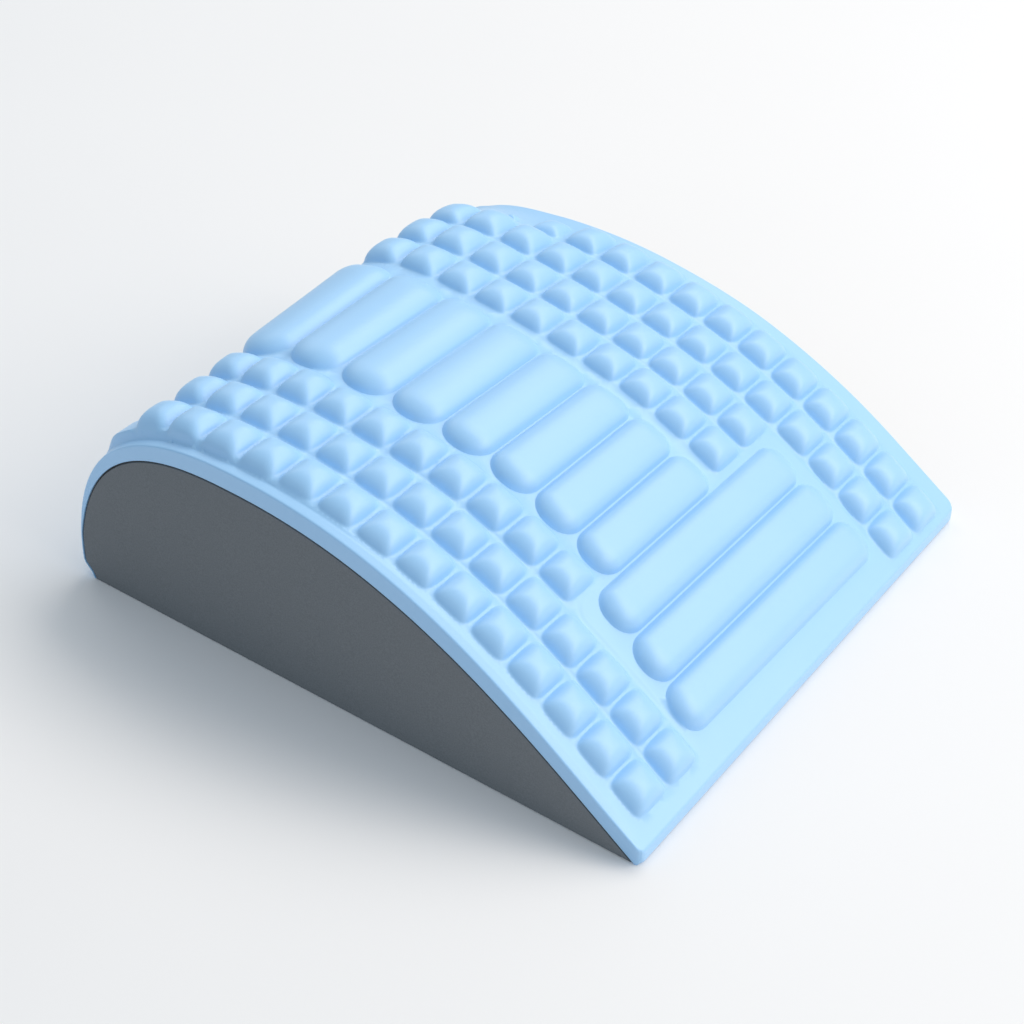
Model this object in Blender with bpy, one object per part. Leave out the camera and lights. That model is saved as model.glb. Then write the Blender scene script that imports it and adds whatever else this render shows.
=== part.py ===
"""Foam back stretcher: an arched foam block with a moulded massage mat glued over it.

The thin end (the toe) points along +X, the thick end (the heel) along -X, the near side
along -Y and up along +Z. The origin is on the floor, in the middle of the block's plan.

A place on the mat is given by u, the distance along its surface from the toe's top edge,
and v, the distance from the middle line towards +Y.
"""

import math
from bisect import bisect_right

import bmesh
import bpy
from mathutils import Vector
from mathutils.geometry import interpolate_bezier

MM = 0.001

# Block, seen from above
LENGTH = 338.0 * MM
TOE_WIDTH = 304.5 * MM
HEEL_WIDTH = 284.5 * MM

# Arch, seen from the side: height of the plain mat, without its knobs
ARCH_HEIGHT = 110.2 * MM
CROWN_TO_HEEL = 102.5 * MM
RAMP_ANGLE = math.radians(36.5)
BULGE_HEIGHT = 9.8 * MM
HEEL_TUCK = 6.0 * MM

# Fullness of the arch: each handle's share of the run or rise that it bends
RAMP_FULLNESS = 0.35
FRONT_FULLNESS = 0.472
REAR_FULLNESS = 0.883
BACK_FULLNESS = 0.339
TUCK_FULLNESS = 0.4

# Mat
MAT_AT_TOE = 8.6 * MM
MAT_AT_CROWN = 11.1 * MM
MAT_AT_HEEL = 1.4 * MM
TOE_SOLE = 3.8 * MM
MAT_FULL_FROM = 170.0 * MM
THINNING_RUN = 153.0 * MM
THINNING_POWER = 1.6
HEEL_STRIP = 29.0 * MM
TOE_ROUNDING = 2.2 * MM
SIDE_ROUNDING = 0.8 * MM

# Glue line
CLEARANCE = 0.3 * MM
FILM_THICKNESS = 0.25 * MM
FILM_RECESS = 0.8 * MM
FILM_LIFT = 0.5 * MM

# Pattern of knobs and bars: the back stays plain below it
PLAIN_BACK = 84.0 * MM

# Raised field: behind the crown the mat is thicker under its pattern than along its rims
FIELD_RISE = 7.2 * MM
FIELD_RISE_FROM = 155.0 * MM
FIELD_RISE_RUN = 185.0 * MM
FIELD_NEAR_SHARE = 0.5
FIELD_NEAR_RUN = 130.0 * MM
FIELD_FAR_DROOP = 4.6 * MM
FIELD_FAR_RUN = 130.0 * MM
FIELD_FAR_END = 300.0 * MM
FIELD_FAR_FADING = 70.0 * MM
FIELD_END_SLOPE = 7.0 * MM
FIELD_MARGIN = 0.3 * MM
FIELD_SECTIONS = 8

# Lean of the pattern: the mat is cut out round it a little askew
LEAN = 0.009
LEAN_FROM = 150.0 * MM

# Knobs
KNOB_HEIGHT = 6.5 * MM
KNOB_CORNER = 2.8 * MM
KNOB_VALLEY = 4.2 * MM

NEAR_RIM = 13.1 * MM
NEAR_COLUMN_PITCH = 25.2 * MM
NEAR_ROW_PITCH = 22.45 * MM
NEAR_FIRST_ROW = 11.5 * MM
NEAR_LONG_COLUMNS = 2
NEAR_SHORT_COLUMNS = 1

FAR_RIM = 13.4 * MM
FAR_COLUMN_PITCH = 26.7 * MM
FAR_ROW_PITCH = 22.6 * MM
FAR_FIRST_ROW = 6.8 * MM
FAR_LONG_COLUMNS = 2
FAR_SHORT_COLUMNS = 2

# Bars
BAR_HEIGHT = 6.3 * MM
BAR_VALLEY = 2.4 * MM
BAR_PITCH = 25.9 * MM
BAR_PITCH_GROWTH = 0.9 * MM
BAR_FIRST_VALLEY = 15.2 * MM
BAR_FAR_CORNER = 8.0 * MM
BAR_NEAR_ROUNDNESS = 0.92
LONG_BARS = 3
LONG_BAR_NEAR_GAP = 6.2 * MM
LONG_BAR_FAR_GAP = 8.6 * MM
LONG_BAR_NEAR_STEP = 4.0 * MM
LONG_BAR_FAR_STEP = 2.1 * MM
SHORT_BAR_NEAR_GAP = 4.0 * MM
SHORT_BAR_FAR_GAP = 7.1 * MM

# Sections of the pads: how far in from the edge, as a share of half the pad, and how high
KNOB_SECTION = ((0.12, 0.27), (0.44, 0.68), (0.78, 0.95))
BAR_SECTION = ((0.13, 0.55), (0.42, 0.89), (0.8, 1.0))

# How finely round shapes are cut, and how far the pads reach into the mat before they join it
STATIONS = 48
CURVE_SAMPLES = 160
FILLET_STEPS = 4
KNOB_CORNER_STEPS = 1
BAR_CORNER_STEPS = 3
SINK = 0.8 * MM
FIELD_SINK = 0.15 * MM


def material(name, colour, roughness):
    """A plain moulded foam."""
    made = bpy.data.materials.new(name)
    made.use_nodes = True
    shader = made.node_tree.nodes["Principled BSDF"]
    shader.inputs["Base Color"].default_value = (*colour, 1.0)
    shader.inputs["Roughness"].default_value = roughness
    shader.inputs["Metallic"].default_value = 0.0
    return made


def arch_line():
    """The mat's outer line in the side view, from the toe's top edge to the heel's foot."""
    toe_height = MAT_AT_TOE / math.cos(RAMP_ANGLE) - TOE_SOLE * math.tan(RAMP_ANGLE)
    toe = Vector((LENGTH / 2, toe_height))
    crown = Vector((CROWN_TO_HEEL - LENGTH / 2, ARCH_HEIGHT))
    bulge = Vector((-LENGTH / 2, BULGE_HEIGHT))
    foot = Vector((HEEL_TUCK - LENGTH / 2, 0))
    front_run = toe.x - crown.x
    back_rise = crown.y - bulge.y
    up_ramp = Vector((-math.cos(RAMP_ANGLE), math.sin(RAMP_ANGLE)))
    back = Vector((-1, 0))
    up = Vector((0, 1))
    tuck = TUCK_FULLNESS * BULGE_HEIGHT * up
    stretches = (
        (toe, toe + RAMP_FULLNESS * front_run * up_ramp, crown - FRONT_FULLNESS * front_run * back, crown),
        (crown, crown + REAR_FULLNESS * CROWN_TO_HEEL * back, bulge + BACK_FULLNESS * back_rise * up, bulge),
        (bulge, bulge - tuck, foot + tuck, foot),
    )
    line = [toe]
    for stretch in stretches:
        line += interpolate_bezier(*stretch, CURVE_SAMPLES)[1:]
    return line


ARCH = arch_line()
DISTANCE = [0.0]
for before, after in zip(ARCH, ARCH[1:]):
    DISTANCE.append(DISTANCE[-1] + (after - before).length)
ARCH_LENGTH = DISTANCE[-1]


def arch_at(u):
    """Point and outward normal of the arch line at u, carried on straight past its ends."""
    span = min(max(bisect_right(DISTANCE, u) - 1, 0), len(ARCH) - 2)
    along = (ARCH[span + 1] - ARCH[span]).normalized()
    point = ARCH[span] + along * (u - DISTANCE[span])
    return point, Vector((along.y, -along.x))


def mat_thickness(u):
    """Full over the crown, a little less at the toe, and thinning out down the back."""
    if u < MAT_FULL_FROM:
        share = max(u, 0) / MAT_FULL_FROM
        share = share * share * (3 - 2 * share)
        return MAT_AT_TOE + (MAT_AT_CROWN - MAT_AT_TOE) * share
    thin_from = max(ARCH_LENGTH - HEEL_STRIP, MAT_FULL_FROM)
    share = 1 - min(max((thin_from - u) / THINNING_RUN, 0), 1)
    return MAT_AT_CROWN + (MAT_AT_HEEL - MAT_AT_CROWN) * share ** THINNING_POWER


def line_below(depth, floor):
    """The line that runs below the mat's outer line by depth(u), cut off at the floor height."""
    reach = 2 * MAT_AT_TOE
    points = []
    for step in range(STATIONS + 1):
        u = -reach + (ARCH_LENGTH + 2 * reach) * step / STATIONS
        point, normal = arch_at(u)
        points.append(point - normal * depth(u))
    inside = [k for k, point in enumerate(points) if point.y > floor]
    first = inside[0]
    last = inside[-1]
    start = cut_at(points[first], points[first - 1], floor)
    end = cut_at(points[last], points[last + 1], floor)
    return [start, *points[first:last + 1], end]


def cut_at(above, below, floor):
    """Where the line from above to below crosses the floor height."""
    share = (above.y - floor) / (above.y - below.y)
    return above.lerp(below, share)


def fillet(before, corner, after, radius):
    """Points of a round corner between two straight sides."""
    to_before = (before - corner).normalized()
    to_after = (after - corner).normalized()
    half = to_before.angle(to_after) / 2
    reach = radius / math.tan(half)
    start = corner + to_before * reach
    end = corner + to_after * reach
    centre = corner + (to_before + to_after).normalized() * radius / math.sin(half)
    points = []
    for step in range(FILLET_STEPS + 1):
        spoke = (start - centre).normalized().slerp((end - centre).normalized(), step / FILLET_STEPS)
        points.append(centre + spoke * radius)
    return points


def mat_outline():
    """Closed side outline of the mat: its outer line with the toe, then back along its inside."""
    inside = line_below(mat_thickness, 0.0)
    toe_foot = Vector((LENGTH / 2, 0))
    toe_top = ARCH[0]
    top_rounding = min(TOE_ROUNDING, toe_top.y * 0.45)
    foot_rounding = min(top_rounding, TOE_SOLE * 0.7)
    outline = fillet(inside[0], toe_foot, toe_top, foot_rounding)
    outline += fillet(toe_foot, toe_top, arch_at(TOE_SOLE)[0], top_rounding)
    for step in range(1, STATIONS + 1):
        outline.append(arch_at(ARCH_LENGTH * step / STATIONS)[0])
    return outline + inside[::-1]


def film_outline():
    """Closed side outline of the glue, as a thin strip below the mat."""
    top = line_below(lambda u: mat_thickness(u) + CLEARANCE, FILM_LIFT)
    bottom = line_below(lambda u: mat_thickness(u) + CLEARANCE + FILM_THICKNESS, FILM_LIFT)
    return top + bottom[::-1]


def core_outline():
    """Closed side outline of the block, which fills the arch down to the floor."""
    return line_below(lambda u: mat_thickness(u) + 2 * CLEARANCE + FILM_THICKNESS, 0.0)


def narrow(mesh):
    """Draws the sides in from the toe's width to the heel's."""
    for vertex in mesh.vertices:
        share = 0.5 - vertex.co.x / LENGTH
        vertex.co.y *= 1 + (HEEL_WIDTH / TOE_WIDTH - 1) * share


def slab(name, outline, width, rounding=0.0):
    """A side outline filled and stretched across the block, as one mesh object."""
    curve = bpy.data.curves.new(name, "CURVE")
    curve.dimensions = "2D"
    curve.fill_mode = "BOTH"
    curve.extrude = width / 2
    spline = curve.splines.new("POLY")
    spline.points.add(len(outline) - 1)
    for point, place in zip(spline.points, outline):
        point.co = (place.x, place.y, 0, 1)
    spline.use_cyclic_u = True
    drawn = bpy.data.objects.new(name + "_outline", curve)
    drawn.rotation_euler.x = math.pi / 2
    GUIDES.objects.link(drawn)
    bpy.context.view_layer.update()

    mesh = bpy.data.meshes.new_from_object(drawn.evaluated_get(bpy.context.evaluated_depsgraph_get()))
    mesh.transform(drawn.matrix_world)
    bpy.data.objects.remove(drawn)
    mesh.name = name

    shape = bmesh.new()
    shape.from_mesh(mesh)
    bmesh.ops.remove_doubles(shape, verts=shape.verts, dist=MM / 1000)
    for side in (-1, 1):
        caps = [face for face in shape.faces if face.normal.y * side > 0.99]
        bmesh.ops.dissolve_faces(shape, faces=caps)
    bmesh.ops.recalc_face_normals(shape, faces=shape.faces)
    if rounding:
        round_sides(shape, rounding)
    shape.to_mesh(mesh)
    shape.free()
    narrow(mesh)

    made = bpy.data.objects.new(name, mesh)
    PARTS.objects.link(made)
    return made


def as_guide(made):
    """Takes a shape that only forms another one out of the parts."""
    for home in made.users_collection:
        home.objects.unlink(made)
    GUIDES.objects.link(made)
    made.hide_render = True
    made.display_type = "WIRE"
    return made


def round_sides(shape, radius):
    """Rounds the two long outer edges of the mat, from the toe's face to the heel."""
    heart = Vector((0, 0, ARCH_HEIGHT / 4))
    edges = []
    for cap in [face for face in shape.faces if abs(face.normal.y) > 0.99]:
        for edge in cap.edges:
            wall = next(face for face in edge.link_faces if face != cap)
            middle = wall.calc_center_median()
            if middle.z > MM / 1000 and wall.normal.dot(middle - heart) > 0:
                edges.append(edge)
    bmesh.ops.bevel(shape, geom=edges, offset=radius, segments=2, profile=0.5,
                    affect="EDGES", clamp_overlap=False)


def ease(share):
    """Goes from 0 to 1 with a level start and end."""
    share = min(max(share, 0), 1)
    return share * share * (3 - 2 * share)


def field_rise(u, y):
    """How far the ground under the pattern stands above the mat's outer line."""
    near = FIELD_NEAR_SHARE + (1 - FIELD_NEAR_SHARE) * ease(1 + y / FIELD_NEAR_RUN)
    droop = FIELD_FAR_DROOP * ease(y / FIELD_FAR_RUN) * ease((FIELD_FAR_END - u) / FIELD_FAR_FADING)
    return max(FIELD_RISE * near * ease((u - FIELD_RISE_FROM) / FIELD_RISE_RUN) - droop, 0)


def on_mat(u, y, rise):
    """The point that stands off the mat's outer line by rise, in the pattern's own leaning plan."""
    point, normal = arch_at(u)
    place = point + normal * rise
    return Vector((place.x, y + LEAN * (u - LEAN_FROM), place.y))


def on_ground(u, y, rise):
    """The point that stands above the mat or its raised field by rise."""
    return on_mat(u, y, field_rise(u, y) + rise)


def pad_outline(length, width, near_corner, far_corner, steps):
    """A rectangle round its middle, with its own corner radius at its near and far ends."""
    corners = (
        (length / 2, width / 2, far_corner),
        (-length / 2, width / 2, far_corner),
        (-length / 2, -width / 2, near_corner),
        (length / 2, -width / 2, near_corner),
    )
    points = []
    for quarter, (u, v, radius) in enumerate(corners):
        centre_u = u - math.copysign(radius, u)
        centre_v = v - math.copysign(radius, v)
        for step in range(steps + 1):
            angle = math.pi / 2 * (quarter + step / steps)
            points.append((centre_u + radius * math.cos(angle), centre_v + radius * math.sin(angle)))
    return points


def add_pad(shape, u_range, v_range, corners, steps, section, height):
    """Raises one pad on the mat, as a stack of outlines that draw in towards its top."""
    length = u_range[1] - u_range[0]
    width = v_range[1] - v_range[0]
    middle_u = sum(u_range) / 2
    middle_v = sum(v_range) / 2
    half = min(length, width) / 2
    rings = [(share * half, rise * height) for share, rise in section]
    foot = (-SINK * rings[0][0] / rings[0][1], -SINK)

    bmesh.ops.create_circle(shape, cap_ends=True, radius=1, segments=4 * (steps + 1))
    shape.faces.ensure_lookup_table()
    cap = shape.faces[-1]
    for count, (inset, rise) in enumerate([foot, *rings]):
        if count:
            cap = bmesh.ops.extrude_discrete_faces(shape, faces=[cap])["faces"][0]
        near, far = (max(radius - inset, radius / 5) for radius in corners)
        ring = pad_outline(length - 2 * inset, width - 2 * inset, near, far, steps)
        for vertex, (u, v) in zip(cap.verts, ring):
            vertex.co = on_ground(middle_u + u, middle_v + v, rise)


def column_inside(side, rim, pitch, count):
    """Where a field of columns ends towards the middle, counted inwards from the rim."""
    return side * (TOE_WIDTH / 2 - rim - count * pitch + KNOB_VALLEY)


def long_bars_end():
    return BAR_FIRST_VALLEY + LONG_BARS * BAR_PITCH - BAR_VALLEY / 2


def add_knobs(shape, side, rim, column_pitch, row_pitch, first_row, long_columns, short_columns):
    """The knobs along one side: its inner, shorter columns start behind the long bars."""
    length = row_pitch - KNOB_VALLEY
    rows = 1 + int((ARCH_LENGTH - PLAIN_BACK - first_row - length) / row_pitch)
    behind_bars = math.ceil((long_bars_end() + KNOB_VALLEY - first_row) / row_pitch)
    for column in range(long_columns + short_columns):
        inside = column_inside(side, rim, column_pitch, column + 1)
        outside = inside + side * (column_pitch - KNOB_VALLEY)
        for row in range(0 if column < long_columns else behind_bars, rows):
            start = first_row + row * row_pitch
            add_pad(shape, (start, start + length), sorted((inside, outside)),
                    (KNOB_CORNER, KNOB_CORNER), KNOB_CORNER_STEPS, KNOB_SECTION, KNOB_HEIGHT)


def add_bars(shape):
    """The bars across the middle: long ones by the toe, then short ones between more knobs."""
    near_columns = NEAR_LONG_COLUMNS + NEAR_SHORT_COLUMNS
    far_columns = FAR_LONG_COLUMNS + FAR_SHORT_COLUMNS
    long_near = column_inside(-1, NEAR_RIM, NEAR_COLUMN_PITCH, NEAR_LONG_COLUMNS) + LONG_BAR_NEAR_GAP
    long_far = column_inside(1, FAR_RIM, FAR_COLUMN_PITCH, FAR_LONG_COLUMNS) - LONG_BAR_FAR_GAP
    short_near = column_inside(-1, NEAR_RIM, NEAR_COLUMN_PITCH, near_columns) + SHORT_BAR_NEAR_GAP
    short_far = column_inside(1, FAR_RIM, FAR_COLUMN_PITCH, far_columns) - SHORT_BAR_FAR_GAP
    valley = BAR_FIRST_VALLEY
    pitch = BAR_PITCH
    count = 0
    while valley + pitch < ARCH_LENGTH - PLAIN_BACK:
        v_range = (short_near, short_far)
        if count < LONG_BARS:
            v_range = (long_near + LONG_BAR_NEAR_STEP * count, long_far - LONG_BAR_FAR_STEP * count)
        u_range = (valley + BAR_VALLEY / 2, valley + pitch - BAR_VALLEY / 2)
        near_corner = BAR_NEAR_ROUNDNESS * (pitch - BAR_VALLEY) / 2
        corners = (near_corner, min(BAR_FAR_CORNER, near_corner))
        add_pad(shape, u_range, v_range, corners, BAR_CORNER_STEPS, BAR_SECTION, BAR_HEIGHT)
        valley += pitch
        count += 1
        if count > LONG_BARS:
            pitch += BAR_PITCH_GROWTH


def pads():
    """Every knob and bar, as closed pads that reach a little into the mat."""
    shape = bmesh.new()
    add_knobs(shape, -1, NEAR_RIM, NEAR_COLUMN_PITCH, NEAR_ROW_PITCH, NEAR_FIRST_ROW,
              NEAR_LONG_COLUMNS, NEAR_SHORT_COLUMNS)
    add_knobs(shape, 1, FAR_RIM, FAR_COLUMN_PITCH, FAR_ROW_PITCH, FAR_FIRST_ROW,
              FAR_LONG_COLUMNS, FAR_SHORT_COLUMNS)
    add_bars(shape)
    bmesh.ops.holes_fill(shape, edges=[edge for edge in shape.edges if edge.is_boundary])
    bmesh.ops.recalc_face_normals(shape, faces=shape.faces)
    mesh = bpy.data.meshes.new("pads")
    shape.to_mesh(mesh)
    shape.free()
    return as_guide(bpy.data.objects.new("pads", mesh))


def raised_field():
    """The thicker ground behind the crown, as a thin plate whose underside lies inside the mat."""
    end = ARCH_LENGTH - PLAIN_BACK
    near = column_inside(-1, NEAR_RIM, NEAR_COLUMN_PITCH, 0) + KNOB_VALLEY - FIELD_MARGIN
    far = column_inside(1, FAR_RIM, FAR_COLUMN_PITCH, 0) - KNOB_VALLEY + FIELD_MARGIN
    across = [near + (far - near) * step / FIELD_SECTIONS for step in range(FIELD_SECTIONS + 1)]
    along = [ARCH_LENGTH * step / STATIONS for step in range(STATIONS)]
    along = [u for u in along if FIELD_RISE_FROM < u < end - FIELD_END_SLOPE] + [end]

    shape = bmesh.new()
    top = [[shape.verts.new(on_ground(u, y, -FIELD_SINK)) for y in across] for u in along]
    top.append([shape.verts.new(on_mat(end + FIELD_END_SLOPE, y, -SINK)) for y in across])
    along.append(end + FIELD_END_SLOPE)
    under = [[shape.verts.new(on_mat(u, y, -2 * SINK)) for y in across] for u in along]
    rows = len(along)
    for sheet in (top, under):
        for row in range(rows - 1):
            for column in range(FIELD_SECTIONS):
                shape.faces.new((
                    sheet[row][column], sheet[row][column + 1],
                    sheet[row + 1][column + 1], sheet[row + 1][column],
                ))
    rim = [(row, 0) for row in range(rows)]
    rim += [(rows - 1, column) for column in range(1, FIELD_SECTIONS + 1)]
    rim += [(row, FIELD_SECTIONS) for row in range(rows - 2, -1, -1)]
    rim += [(0, column) for column in range(FIELD_SECTIONS - 1, 0, -1)]
    for before, after in zip(rim, rim[1:] + rim[:1]):
        shape.faces.new((
            top[before[0]][before[1]], top[after[0]][after[1]],
            under[after[0]][after[1]], under[before[0]][before[1]],
        ))
    bmesh.ops.recalc_face_normals(shape, faces=shape.faces)
    mesh = bpy.data.meshes.new("raised_field")
    shape.to_mesh(mesh)
    shape.free()
    return as_guide(bpy.data.objects.new("raised_field", mesh))


def massage_mat():
    """The blue mat, moulded in one piece with its knobs and bars."""
    mat = slab("massage_mat", mat_outline(), TOE_WIDTH, min(SIDE_ROUNDING, MAT_AT_HEEL * 0.6))
    for raised in (pads(), raised_field()):
        union = mat.modifiers.new(raised.name, "BOOLEAN")
        union.operation = "UNION"
        union.solver = "EXACT"
        union.object = raised
    mat.data.materials.append(material("mat_foam", (0.33, 0.62, 0.91), 0.55))
    mat.data.shade_smooth()
    mat.data.set_sharp_from_angle(angle=math.radians(40))
    return mat


def adhesive_film():
    """The glue between mat and block, a little short of the sides and of the floor."""
    film = slab("adhesive_film", film_outline(), TOE_WIDTH - 2 * FILM_RECESS)
    film.data.materials.append(material("adhesive", (0.03, 0.035, 0.045), 0.6))
    return film


def foam_core():
    """The grey block that carries the load, flat underneath."""
    core = slab("foam_core", core_outline(), TOE_WIDTH)
    core.data.materials.append(material("core_foam", (0.13, 0.135, 0.145), 0.85))
    return core


for old in list(bpy.data.objects):
    bpy.data.objects.remove(old)

PARTS = bpy.data.collections.new("foam_back_stretcher")
GUIDES = bpy.data.collections.new("guides")
bpy.context.scene.collection.children.link(PARTS)
bpy.context.scene.collection.children.link(GUIDES)

foam_core()
adhesive_film()
massage_mat()
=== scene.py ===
# %% [markdown]
# # A foam back stretcher, dressed for its picture
#
# The object is an arched block of dense grey foam. A soft blue mat is folded over it from the thin
# end, the toe, over the top and down to the thick end, the heel. The mat is moulded in one piece
# with rows of knobs along both sides and a ladder of bars across the middle, and a thin layer of
# glue holds it to the block. One lies back over the arch to stretch.
#
# This lesson loads the solids of the part as a fixed frame, builds a finer mat, glue line and block
# in the same places, gives each its finish, and sets up a plain studio.

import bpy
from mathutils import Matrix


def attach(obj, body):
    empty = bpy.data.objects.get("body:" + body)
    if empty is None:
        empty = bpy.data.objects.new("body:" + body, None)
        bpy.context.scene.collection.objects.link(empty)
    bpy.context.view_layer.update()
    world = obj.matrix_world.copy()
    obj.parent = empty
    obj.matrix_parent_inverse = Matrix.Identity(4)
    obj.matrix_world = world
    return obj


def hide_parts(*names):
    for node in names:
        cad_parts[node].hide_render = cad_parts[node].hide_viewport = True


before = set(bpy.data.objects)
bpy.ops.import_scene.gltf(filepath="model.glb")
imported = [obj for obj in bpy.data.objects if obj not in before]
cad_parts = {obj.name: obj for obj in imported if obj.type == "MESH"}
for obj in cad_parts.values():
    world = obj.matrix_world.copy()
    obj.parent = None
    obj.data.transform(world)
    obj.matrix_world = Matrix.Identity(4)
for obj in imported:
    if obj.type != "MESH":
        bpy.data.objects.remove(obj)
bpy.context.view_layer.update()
print("solids:", ", ".join(sorted(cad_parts)))

# %% [markdown]
# ## Tools
#
# bmesh builds a mesh point by point and face by face, and mathutils brings vectors, Bezier curves
# and a triangulation. Sizes are written in millimetres and turned into Blender's metres with MM.

# %% Tools from Python and Blender
import math
from bisect import bisect_right

import bmesh
import bpy
from mathutils import Vector
from mathutils.geometry import delaunay_2d_cdt, interpolate_bezier

MM = 0.001
print("Blender", bpy.app.version_string)

# %% [markdown]
# ## The camera
#
# The object is seen from its toe and its near side, from well above, through a long lens that keeps
# its long edges almost parallel. A camera is easiest to place by what it looks at: a point on the
# floor under the object, a direction given by two angles, and a distance. Turning it with
# `to_track_quat` keeps its horizon level.

# %% Place the camera
AIM = Vector((-22.5, 23.85, 0.0)) * MM
TURN = math.radians(35.19)
TILT = math.radians(36.77)
CAMERA_DISTANCE = 1103.4 * MM
FOCAL_LENGTH = 74.0
SENSOR_WIDTH = 36.0

towards_camera = Vector((
    math.sin(TURN) * math.cos(TILT),
    -math.cos(TURN) * math.cos(TILT),
    math.sin(TILT),
))
long_lens = bpy.data.cameras.new("camera")
long_lens.lens = FOCAL_LENGTH
long_lens.sensor_width = SENSOR_WIDTH
long_lens.clip_start = 0.05
long_lens.clip_end = 100.0
camera = bpy.data.objects.new("camera", long_lens)
camera.location = AIM + towards_camera * CAMERA_DISTANCE
camera.rotation_mode = "QUATERNION"
camera.rotation_quaternion = (-towards_camera).to_track_quat("-Z", "Y")
bpy.context.scene.collection.objects.link(camera)
bpy.context.scene.camera = camera
print("camera at", [round(value, 3) for value in camera.location])

# %% [markdown]
# ## The arch
#
# Seen from the side, the mat's outer line climbs a nearly straight ramp from the toe, goes over a
# broad crown close to the heel, drops steeply behind it and tucks in under the heel. It could be
# traced with many points, but three Bezier stretches draw it with few numbers: where each stretch
# starts and ends, and how full it is. They are the same numbers as the solids have, because the mat
# has to lie where its solid lies.

# %% Draw the arch line
LENGTH = 338.0 * MM
TOE_WIDTH = 304.5 * MM
HEEL_WIDTH = 284.5 * MM
ARCH_HEIGHT = 110.2 * MM
CROWN_TO_HEEL = 102.5 * MM
RAMP_ANGLE = math.radians(36.5)
BULGE_HEIGHT = 9.8 * MM
HEEL_TUCK = 6.0 * MM
RAMP_FULLNESS = 0.35
FRONT_FULLNESS = 0.472
REAR_FULLNESS = 0.883
BACK_FULLNESS = 0.339
TUCK_FULLNESS = 0.4
MAT_AT_TOE = 8.6 * MM
TOE_SOLE = 3.8 * MM
CURVE_SAMPLES = 1200


def arch_line():
    """The mat's outer line in the side view, from the toe's top edge to the heel's foot."""
    toe = Vector((LENGTH / 2, MAT_AT_TOE / math.cos(RAMP_ANGLE) - TOE_SOLE * math.tan(RAMP_ANGLE)))
    crown = Vector((CROWN_TO_HEEL - LENGTH / 2, ARCH_HEIGHT))
    bulge = Vector((-LENGTH / 2, BULGE_HEIGHT))
    foot = Vector((HEEL_TUCK - LENGTH / 2, 0))
    front_run = toe.x - crown.x
    up_ramp = Vector((-math.cos(RAMP_ANGLE), math.sin(RAMP_ANGLE)))
    back = Vector((-1, 0))
    rise = Vector((0, BACK_FULLNESS * (crown.y - bulge.y)))
    tuck = Vector((0, TUCK_FULLNESS * BULGE_HEIGHT))
    stretches = (
        (toe, toe + RAMP_FULLNESS * front_run * up_ramp, crown - FRONT_FULLNESS * front_run * back, crown),
        (crown, crown + REAR_FULLNESS * CROWN_TO_HEEL * back, bulge + rise, bulge),
        (bulge, bulge - tuck, foot + tuck, foot),
    )
    line = [toe]
    for stretch in stretches:
        line += interpolate_bezier(*stretch, CURVE_SAMPLES)[1:]
    return line


ARCH = arch_line()
print("the arch line has", len(ARCH), "points")

# %% [markdown]
# ## Places along the arch
#
# A place on the mat is given by u, the distance along this line from the toe's top edge, and v, the
# distance from the middle line, both as if the mat were as wide everywhere as it is at the toe. A
# third number, rise, says how far a point stands off the line. The line's running length is kept
# for all its points, so that any u can be looked up quickly.

# %% Find a place on the arch
REACHED = [0.0]
for before, after in zip(ARCH, ARCH[1:]):
    REACHED.append(REACHED[-1] + (after - before).length)
ARCH_LENGTH = REACHED[-1]


def arch_at(u):
    """Point and outward normal of the arch line at u."""
    span = min(max(bisect_right(REACHED, u) - 1, 0), len(ARCH) - 2)
    along = (ARCH[span + 1] - ARCH[span]).normalized()
    return ARCH[span] + along * (u - REACHED[span]), Vector((along.y, -along.x))


print(f"arch: {ARCH_LENGTH / MM:.1f} mm from the toe's edge to the heel's foot")

# %% [markdown]
# ## How thick the mat is
#
# The mat is fullest over the crown, a little thinner at the toe, and thins out down the back until
# it is hardly more than a skin. The thickness matters at the sides, where its whole edge shows as a
# blue band along the grey block. A Solidify modifier would give one thickness everywhere, so here a
# formula says how thick the mat is at each place, built on a smooth climb from 0 to 1.

# %% Thickness of the mat
MAT_AT_CROWN = 11.1 * MM
MAT_AT_HEEL = 1.4 * MM
MAT_FULL_FROM = 170.0 * MM
THINNING_RUN = 153.0 * MM
THINNING_POWER = 1.6
HEEL_STRIP = 29.0 * MM


def climb(value, start, end):
    """Goes smoothly from 0 at the start to 1 at the end, level at both; either may be the greater."""
    share = min(max((value - start) / (end - start), 0.0), 1.0)
    return share * share * (3 - 2 * share)


def mat_thickness(u):
    """Thickness of the plain mat at u."""
    if u < MAT_FULL_FROM:
        return MAT_AT_TOE + (MAT_AT_CROWN - MAT_AT_TOE) * climb(u, 0, MAT_FULL_FROM)
    share = 1 - min(max((ARCH_LENGTH - HEEL_STRIP - u) / THINNING_RUN, 0), 1)
    return MAT_AT_CROWN + (MAT_AT_HEEL - MAT_AT_CROWN) * share ** THINNING_POWER


for u in (0, 120, 240, 360):
    print(f"the mat is {mat_thickness(u * MM) / MM:.1f} mm thick at u = {u} mm")

# %% [markdown]
# ## From the pattern to the mat
#
# The knobs and bars don't narrow towards the heel as the mat does, and they lean a little, because
# the mat is cut out round its pattern after it is moulded. So the pattern is planned with y, the
# true distance from the middle line, and each place is then turned into the mat's own u and v. By
# the near rim, the knobs of the last rows stand in from their columns.

# %% Places in the pattern
LEAN_ALONG = 0.009
LEAN_ACROSS = 0.018
LEAN_FROM = 150.0 * MM
DRAWN_IN = 2.0 * MM
DRAWN_IN_ROWS = (284.0 * MM, 308.0 * MM)
DRAWN_IN_COLUMNS = (-62.0 * MM, -108.0 * MM)


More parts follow.
